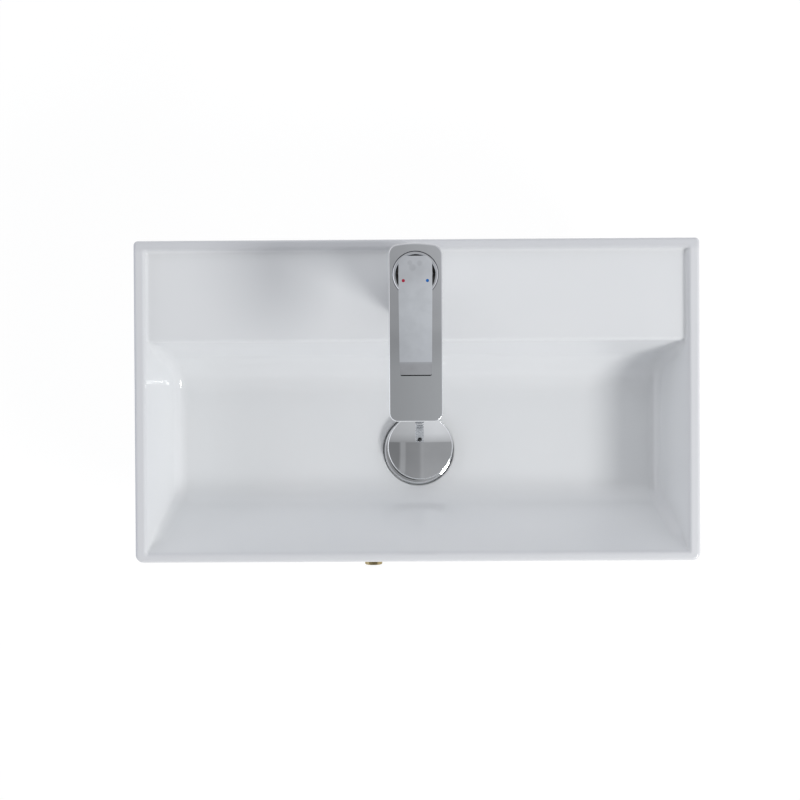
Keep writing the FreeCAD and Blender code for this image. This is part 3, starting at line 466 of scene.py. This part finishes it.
slots = {}
for part in frame["record"]["subparts"]:
    slots[part["node"]] = part["material_slot"]
for name, obj in nodes.items():
    dress(obj, MATS[slots[name]])
# painted shade: the retaining nut, seen in the dark gaps round the lever, is dressed in dark metal so that those gaps
# read as shade
dress(nodes["retaining_nut"], MATS["dull_metal"])
dress(nodes["aerator_screen"], MATS["outlet_black"])
dress(nodes["aerator_housing"], MATS["outlet_black"])
dress(hose, MATS["braid"])
dress(hose_braid, MATS["braid_wire"])

# ------------------------------------------------------------------ the basin's glazed body
# Two height fields, the top and the hollow underside, with the same count of rows and columns,
# joined by the skirt and by the walls of the tap hole and the waste hole. Millimetres until the end.


def round_max(a, b, r):
    """Where two walls meet: the larger, with a fillet of about radius r on the open side."""
    return np.minimum(-r, np.maximum(a, b)) + np.hypot(np.maximum(r + a, 0), np.maximum(r + b, 0))


def round_min(a, b, r):
    return -round_max(-a, -b, r)


def wall(u, z, p, q):
    """Signed distance to the line from p to q in a vertical plane, positive to its left."""
    tu, tz = q[0] - p[0], q[1] - p[1]
    n = math.hypot(tu, tz)
    return ((u - p[0]) * -tz + (z - p[1]) * tu) / n


def plan_distance(x, y, half, front, rear, r_front, r_rear):
    """Signed distance to the outline seen from above, negative inside."""
    cy, hy = (front + rear) / 2, (rear - front) / 2
    r = np.where(y < cy, r_front, r_rear)
    qx, qy = np.abs(x) - half + r, np.abs(y - cy) - hy + r
    return np.hypot(np.maximum(qx, 0), np.maximum(qy, 0)) + np.minimum(np.maximum(qx, qy), 0) - r


RIM, DECK, FLOOR, FOOT = 65.0, 58.0, -20.0, -65.0
WX, WY, TX, TY = 1.0, -224.0, 0.0, -60.5


def top_solid(x, y, z):
    rho = np.hypot(x - WX, y - WY)
    f = np.clip((125 - rho) / 85, 0, 1)
    floor = FLOOR - 2.4 * f * f * (3 - 2 * f) - z
    rear = wall(y, z, (-107, DECK), (-126, FLOOR))
    front = wall(y, z, (-279, FLOOR), (-333.5, RIM))
    bowl = round_max(round_max(floor, rear, 34.0), front, 13.0)
    deck = round_max(DECK - z, wall(y, z, (-10, RIM), (-11.5, DECK)), 3.2)
    deck = np.maximum(deck, -113 - y)
    profile = round_min(bowl, deck, 2.6)
    side = ((np.abs(x) - 288.2) * 85 - (z - RIM) * 15) / math.hypot(85, 15)
    k = np.clip((z - 40) / 16, 0, 1)
    cavity = round_max(profile, side, 11.5 - 9.2 * k * k * (3 - 2 * k))
    body = round_max(-cavity, z - RIM, 2.6)
    return round_max(body, plan_distance(x, y, 300, -342, 0, 9, 5), 4.0)


def under_solid(x, y, z):
    rear_skirt = y + 12
    deck = z - 46
    rear_1 = wall(y, z, (-93.8, 56), (-106, 6))
    rear_2 = wall(y, z, (-106, 6), (-132, -34))
    front_line = wall(y, z, (-286, -34), (-362, 62))
    shell = np.minimum(z + 34, -rear_1)
    shell = round_min(shell, -rear_2, 12)
    shell = round_min(shell, -front_line, 12)
    stuff = round_max(round_max(rear_skirt, deck, 7), shell, 7)
    stuff = round_max(stuff, -325 - y - (z + 65) * 0.012, 7)
    stuff = round_max(stuff, np.abs(x) - 282.7 + (z + 65) * 0.012, 7)
    body = round_max(-stuff, FOOT - z, 1.6)
    return round_max(body, plan_distance(x, y, 294, -336, 0, 9, 5), 2.5)


def solve(solid, x, y, inside, outside, steps=44):
    """The height where a column crosses from inside to outside of the body."""
    a, b = np.full(x.shape, float(inside)), np.full(x.shape, float(outside))
    for _ in range(steps):
        m = (a + b) / 2
        s = solid(x, y, m)
        a, b = np.where(s < 1e-6, m, a), np.where(s < 1e-6, b, m)
    return (a + b) / 2


def spaced(stations):
    """Positions from stations (end, cells, easing): the easing spaces a run evenly (0), closer at its start (>0) or as a quarter arc ('in'/'out')."""
    at = [stations[0]]
    for end, cells, ease in stations[1:]:
        start = at[-1]
        for i in range(1, cells + 1):
            t = i / cells
            if ease == "in":
                t = 1 - math.cos(t * math.pi / 2)
            elif ease == "out":
                t = math.sin(t * math.pi / 2)
            elif ease > 0:
                t = t ** (1 + ease)
            elif ease < 0:
                t = 1 - (1 - t) ** (1 - ease)
            at.append(start + (end - start) * t)
    return np.array(at)


def columns(half, side_runs, left, right, cells):
    e = spaced([0.0] + side_runs)
    left_part = -half + spaced([0.0] + side_runs + [(half + left, 14, 0.9)])
    right_part = half - spaced([0.0] + side_runs + [(half - right, 14, 0.9)])
    middle = np.linspace(left, right, cells + 1)[1:-1]
    return np.concatenate([left_part, middle, right_part[::-1]])


CELLS, TAP_FROM, TAP_CELLS = 22, 4, 14
top_x = columns(300, [(4, 8, "in"), (8.4, 3, 0), (12.6, 9, 0), (22, 10, 0), (36, 13, 0.2)], WX - 46, WX + 46, CELLS)
low_x = columns(294, [(2.5, 8, "in"), (9.6, 3, 0), (11.5, 9, 0), (12.9, 10, 0), (24, 13, 0.2)], WX - 52, WX + 52, CELLS)
top_y = spaced(
    [0.0, (-4, 8, "in"), (-7.4, 3, 0), (-11, 9, 0), (-16.5, 7, 0), (-32.5, 4, 0.4), (-88.5, TAP_CELLS, 0), (-102, 6, -0.4), (-110.5, 12, 0),
     (-117.5, 7, 0), (-162, 24, 0.45), (-178, 3, 0), (-270, CELLS, 0), (-292, 12, 0), (-328.5, 12, 0), (-335.8, 10, 0), (-338, 2, 0), (-342, 8, "out")]
)
low_y = spaced(
    [0.0, (-2.5, 8, "in"), (-10.1, 3, 0), (-12.0, 9, 0), (-22, 7, 0), (-30.5, 4, 0), (-90.5, TAP_CELLS, 0), (-93, 6, 0), (-98, 12, 0),
     (-106, 7, 0), (-140, 24, 0), (-172, 3, 0), (-276, CELLS, 0), (-292, 12, 0), (-316, 12, 0), (-326, 10, 0), (-333.5, 2, 0), (-336, 8, "out")]
)
NX, NY = len(top_x), len(top_y)
SIDE = 43 + 14
WI0, WI1 = SIDE, SIDE + CELLS
WJ0 = 8 + 3 + 9 + 7 + 4 + TAP_CELLS + 6 + 12 + 7 + 24 + 3
WJ1 = WJ0 + CELLS
TI0, TI1 = WI0 + TAP_FROM, WI0 + TAP_FROM + TAP_CELLS
TJ0 = 8 + 3 + 9 + 7 + 4
TJ1 = TJ0 + TAP_CELLS


def lay_out(xs, ys, half, front, r_front, r_rear, zone=30.0):
    """The grid's points seen from above, drawn in at the rounded corners."""
    gx, gy = np.meshgrid(xs, ys, indexing="ij")
    to_front, to_rear = gy - front, -gy
    width = np.full(gy.shape, float(half))
    for r, d in ((r_front, to_front), (r_rear, to_rear)):
        near = d < r
        inset = r - np.sqrt(np.maximum(r * r - (r - np.clip(d, 0, r)) ** 2, 0))
        width = np.where(near, half - inset, width)
    e = half - np.abs(gx)
    pull = (half - width) * np.clip(1 - e / zone, 0, 1)
    return gx - np.sign(gx) * pull, gy


class Builder:
    def __init__(self):
        self.verts, self.faces = [], []

    def add(self, points):
        first = len(self.verts)
        self.verts.extend(points)
        return list(range(first, len(self.verts)))

    def strip(self, a, b, flip=False):
        """Quads between two closed loops of the same count."""
        n = len(a)
        for i in range(n):
            j = (i + 1) % n
            quad = (a[i], a[j], b[j], b[i])
            self.faces.append(quad[::-1] if flip else quad)


def ring_of(i0, i1, j0, j1):
    """Index pairs round a block of the grid, anticlockwise seen from above (rows run to the front)."""
    out = [(i, j1) for i in range(i0, i1)]
    out += [(i1, j) for j in range(j1, j0, -1)]
    out += [(i, j0) for i in range(i1, i0, -1)]
    out += [(i0, j) for j in range(j0, j1)]
    return out


def even_circle(points, cx, cy, r):
    """A circle's points, evenly spaced, starting in the direction of the first point."""
    n = len(points)
    a0 = math.atan2(points[0][1] - cy, points[0][0] - cx)
    return [(cx + r * math.cos(a0 + 2 * math.pi * k / n), cy + r * math.sin(a0 + 2 * math.pi * k / n)) for k in range(n)]


def basin_mesh():
    b = Builder()
    tx, ty = lay_out(top_x, top_y, 300, -342, 9, 5)
    tz = solve(top_solid, tx, ty, -45, 66.5)
    lx, ly = lay_out(low_x, low_y, 294, -336, 9, 5)
    lz = solve(under_solid, lx, ly, 50, -66)
    holes = [(WI0, WI1, WJ0, WJ1), (TI0, TI1, TJ0, TJ1)]

    def inner(i, j):
        return any(i0 < i < i1 and j0 < j < j1 for i0, i1, j0, j1 in holes)

    def cell_in_hole(i, j):
        return any(i0 <= i < i1 and j0 <= j < j1 for i0, i1, j0, j1 in holes)

    index = {}
    for layer, (gx, gy, gz) in enumerate(((tx, ty, tz), (lx, ly, lz))):
        for i in range(NX):
            for j in range(NY):
                if not inner(i, j):
                    index[layer, i, j] = b.add([(gx[i, j], gy[i, j], gz[i, j])])[0]
        for i in range(NX - 1):
            for j in range(NY - 1):
                if not cell_in_hole(i, j):
                    quad = (index[layer, i, j], index[layer, i, j + 1], index[layer, i + 1, j + 1], index[layer, i + 1, j])
                    b.faces.append(quad if layer == 0 else quad[::-1])

    # the skirt
    edge = ring_of(0, NX - 1, 0, NY - 1)
    upper = [index[0, i, j] for i, j in edge]
    lower = [index[1, i, j] for i, j in edge]
    loops = [upper]
    levels = (0.03, 0.1, 0.25, 0.42, 0.5, 0.58, 0.75, 0.9, 0.97)
    for t in levels:
        pts = []
        for a, c in zip(upper, lower):
            p, q = np.array(b.verts[a]), np.array(b.verts[c])
            pts.append(tuple(p * (1 - t) + q * t))
        loops.append(b.add(pts))
    loops.append(lower)
    for a, c in zip(loops, loops[1:]):
        b.strip(a, c, flip=True)

    # the waste hole in its recess, through the boss under the floor
    def through(block, cx, cy, top_rings, wall_rings, low_rings, blend):
        i0, i1, j0, j1 = block
        around = ring_of(i0, i1, j0, j1)
        up = [index[0, i, j] for i, j in around]
        down = [index[1, i, j] for i, j in around]
        up_xy = [b.verts[k][:2] for k in up]
        down_xy = [b.verts[k][:2] for k in down]
        loops = [up]
        n_blend = blend
        r0 = top_rings[0][0]
        round_xy = even_circle(up_xy, cx, cy, r0)
        for k in range(1, n_blend):
            t = k / n_blend
            xy = [(p[0] * (1 - t) + q[0] * t, p[1] * (1 - t) + q[1] * t) for p, q in zip(up_xy, round_xy)]
            xs, ys = np.array([p[0] for p in xy]), np.array([p[1] for p in xy])
            zs = solve(top_solid, xs, ys, -45, 66.5)
            loops.append(b.add(list(zip(xs, ys, zs))))
        for r, drop in top_rings:
            xy = even_circle(up_xy, cx, cy, r)
            xs, ys = np.array([p[0] for p in xy]), np.array([p[1] for p in xy])
            zs = solve(top_solid, xs, ys, -45, 66.5) + drop
            loops.append(b.add(list(zip(xs, ys, zs))))
        for r, z in wall_rings:
            loops.append(b.add([(x, y, z) for x, y in even_circle(up_xy, cx, cy, r)]))
        for r, lift in low_rings:
            xy = even_circle(up_xy, cx, cy, r)
            xs, ys = np.array([p[0] for p in xy]), np.array([p[1] for p in xy])
            zs = solve(under_solid, xs, ys, 50, -66) - lift
            loops.append(b.add(list(zip(xs, ys, zs))))
        r1 = low_rings[-1][0]
        round_xy = even_circle(up_xy, cx, cy, r1)
        for k in range(1, n_blend):
            t = k / n_blend
            xy = [(q[0] * (1 - t) + p[0] * t, q[1] * (1 - t) + p[1] * t) for p, q in zip(down_xy, round_xy)]
            xs, ys = np.array([p[0] for p in xy]), np.array([p[1] for p in xy])
            zs = solve(under_solid, xs, ys, 50, -66)
            loops.append(b.add(list(zip(xs, ys, zs))))
        loops.append(down)
        for a, c in zip(loops, loops[1:]):
            b.strip(a, c)

    through(
        (WI0, WI1, WJ0, WJ1), WX, WY,
        [(43.4, 0), (42.2, 0), (41.4, -0.06), (40.8, -0.28), (40.35, -0.7), (40.15, -1.2)],
        [(40.1, -24.4), (40.1, -26.3), (39.9, -27.0), (39.3, -27.5), (36, -27.5), (30, -27.5), (25, -27.5), (23.6, -27.6), (23.1, -28.1), (23, -29),
         (23, -34), (23, -40.6), (23.2, -41.4), (23.9, -42), (27, -42), (34, -42), (41, -42), (44.8, -41.95), (45.7, -41.5), (46, -40.6), (46, -38)],
        [(46.3, 2.2), (47.0, 0.9), (48.2, 0.2), (49.6, 0)],
        3,
    )
    through(
        (TI0, TI1, TJ0, TJ1), TX, TY,
        [(22, 0), (19.6, 0), (18.6, -0.08), (17.9, -0.4), (17.55, -0.9)],
        [(17.5, 56.4), (17.5, 52), (17.5, 48), (17.6, 46.9)],
        [(18.0, 0.3), (18.8, 0.02), (22, 0)],
        3,
    )
    return b


b = basin_mesh()
shell = mesh_object("basin_shell", np.array(b.verts) * MM, b.faces)
bm = bmesh.new()
bm.from_mesh(shell.data)
bmesh.ops.recalc_face_normals(bm, faces=bm.faces)
open_edges = [e for e in bm.edges if not e.is_manifold]
print("basin faces", len(bm.faces), "open edges", len(open_edges), "litres", round(bm.calc_volume() * 1000, 3))
bm.to_mesh(shell.data)
bm.free()


def ring_mesh(name, centre, axis, radius, low, high, steps=64):
    """The faces of a closed cylinder, with which a hole is drilled."""
    axis = Vector(axis).normalized()
    u = axis.orthogonal().normalized()
    w = axis.cross(u)
    verts, faces = [], []
    for d in (low, high):
        for k in range(steps):
            a = 2 * math.pi * k / steps
            verts.append(Vector(centre) + axis * d + (u * math.cos(a) + w * math.sin(a)) * radius)
    for k in range(steps):
        faces.append((k, (k + 1) % steps, steps + (k + 1) % steps, steps + k))
    faces.append(tuple(range(steps))[::-1])
    faces.append(tuple(range(steps, 2 * steps)))
    return verts, faces


drill_verts, drill_faces = [], []
for x in (-0.140, 0.140):
    v, f = ring_mesh("drill", (x, 0, 0), (0, 1, 0), 0.007, -0.03, 0.02)
    base = len(drill_verts)
    drill_verts += v
    drill_faces += [tuple(base + k for k in face) for face in f]
drill = mesh_object("drill", drill_verts, drill_faces, smooth=False)
bm = bmesh.new()
bm.from_mesh(drill.data)
bmesh.ops.recalc_face_normals(bm, faces=bm.faces)
bm.to_mesh(drill.data)
bm.free()
cutter = shell.modifiers.new("bolt_holes", "BOOLEAN")
cutter.operation = "DIFFERENCE"
cutter.solver = "MANIFOLD"
cutter.object = drill
bpy.context.view_layer.update()
dg = bpy.context.evaluated_depsgraph_get()
drilled = bpy.data.meshes.new_from_object(shell.evaluated_get(dg))
print("drilled faces", len(drilled.polygons))
shell.modifiers.clear()
shell.data = drilled
bpy.data.objects.remove(drill)
drilled.polygons.foreach_set("use_smooth", [True] * len(drilled.polygons))
drilled.set_sharp_from_angle(angle=math.radians(50))
weigh = shell.modifiers.new("even_shading", "WEIGHTED_NORMAL")
weigh.mode = "FACE_AREA"
weigh.weight = 50
weigh.keep_sharp = True
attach(shell, "sink")
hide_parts("basin")
dress(shell, MATS["glaze"])

# ------------------------------------------------------------------ studio
floor = mesh_object("studio_floor", [(-6, -6, GROUND), (6, -6, GROUND), (6, 6, GROUND), (-6, 6, GROUND)], [(0, 1, 2, 3)], smooth=False)
mat, nt, fb = new_material("studio_floor")
fb.inputs["Base Color"].default_value = (0.10, 0.10, 0.10, 1)
fb.inputs["Roughness"].default_value = 1.0
fb.inputs["Specular IOR Level"].default_value = 0.0
fb.inputs["Emission Color"].default_value = (1, 1, 1, 1)
fb.inputs["Emission Strength"].default_value = 0.93
dress(floor, mat)


def area(name, at, toward, size, power, colour=(1, 1, 1), size_y=None):
    data = bpy.data.lights.new(name, "AREA")
    data.shape = "ELLIPSE" if size_y else "DISK"
    data.size = size
    if size_y:
        data.size_y = size_y
    data.energy = power
    data.color = colour
    obj = bpy.data.objects.new(name, data)
    scene.collection.objects.link(obj)
    obj.location = at
    obj.rotation_mode = "QUATERNION"
    obj.rotation_quaternion = (Vector(toward) - Vector(at)).to_track_quat("-Z", "Y")
    return obj


aim = Vector((0.0, -0.17, 0.0))
key_dir = Vector((0.84, -0.65, 0.83)).normalized()
key = area("key", aim + key_dir * 3.2, aim, 1.25, 43.0, (1.0, 0.995, 0.985), 0.66)

world = bpy.data.worlds.new("studio")
scene.world = world
world.use_nodes = True
wt = world.node_tree
wt.nodes.clear()
w_out = wt.nodes.new("ShaderNodeOutputWorld")
w_bg = wt.nodes.new("ShaderNodeBackground")
wt.links.new(w_bg.outputs[0], w_out.inputs[0])
w_tc = wt.nodes.new("ShaderNodeTexCoord")
w_sep = wt.nodes.new("ShaderNodeSeparateXYZ")
wt.links.new(w_tc.outputs["Generated"], w_sep.inputs[0])


def sky_ramp(axis, stops, tint=(1, 1, 1)):
    """Grey levels along one direction of the room: stops pair a direction's share (-1 to 1) with a level."""
    m = wt.nodes.new("ShaderNodeMapRange")
    m.inputs["From Min"].default_value = -1
    m.inputs["From Max"].default_value = 1
    wt.links.new(w_sep.outputs[axis], m.inputs["Value"])
    r = wt.nodes.new("ShaderNodeValToRGB")
    while len(r.color_ramp.elements) < len(stops):
        r.color_ramp.elements.new(0.5)
    for e, (at, v) in zip(r.color_ramp.elements, stops):
        e.position = (at + 1) / 2
        e.color = (v * tint[0], v * tint[1], v * tint[2], 1)
    wt.links.new(m.outputs[0], r.inputs["Fac"])
    return r.outputs["Color"]


def sky_mix(kind, a, b, fac=1.0):
    m = wt.nodes.new("ShaderNodeMix")
    m.data_type = "RGBA"
    m.blend_type = kind
    if isinstance(fac, float):
        m.inputs["Factor"].default_value = fac
    else:
        wt.links.new(fac, m.inputs["Factor"])
    wt.links.new(a, m.inputs[6])
    wt.links.new(b, m.inputs[7])
    return m.outputs[2]


# overhead: a grey ceiling to the front, a lighter one to the rear, with a few broad panels
front_back = sky_ramp("Y", [(-1.0, 0.40), (-0.55, 0.355), (-0.20, 0.33), (0.100, 0.33), (0.112, 0.41), (0.16, 0.47), (0.30, 0.60), (1.0, 0.72)], (0.985, 1.0, 1.03))
panels = sky_ramp("X", [(-1.0, 0.70), (-0.485, 0.66), (-0.435, 1.12), (-0.36, 1.10), (-0.32, 0.83), (-0.06, 0.88), (-0.025, 0.91), (0.02, 1.10), (0.05, 1.16), (0.10, 1.10), (0.5, 1.10)])
rear_panels = sky_ramp("X", [(-1.0, 0.76), (-0.45, 0.85), (-0.20, 0.88), (-0.06, 0.885), (-0.025, 0.91), (0.02, 1.10), (0.05, 1.16), (0.35, 1.22), (1.0, 1.22)])
panels = sky_mix("MIX", panels, rear_panels, sky_ramp("Y", [(-1.0, 0.0), (0.100, 0.0), (0.112, 1.0), (1.0, 1.0)]))
overhead = sky_mix("MULTIPLY", front_back, panels)
# low down: bright walls all round
around = sky_mix("MULTIPLY", sky_ramp("X", [(-1.0, 1.34), (-0.3, 1.0), (0.0, 0.95), (1.0, 0.97)], (0.975, 0.985, 1.045)), sky_ramp("Y", [(-1.0, 0.66), (0.0, 0.95), (1.0, 0.85)]))
walls = sky_mix("MULTIPLY", around, sky_ramp("Z", [(-1.0, 0.42), (0.10, 0.42), (0.34, 1.08), (1.0, 1.08)]))
height = sky_ramp("Z", [(-1.0, 0.0), (0.50, 0.0), (0.66, 1.0), (1.0, 1.0)])
wt.links.new(sky_mix("MIX", walls, overhead, height), w_bg.inputs["Color"])
w_bg.inputs["Strength"].default_value = 1.0

# ------------------------------------------------------------------ end
bpy.context.view_layer.update()
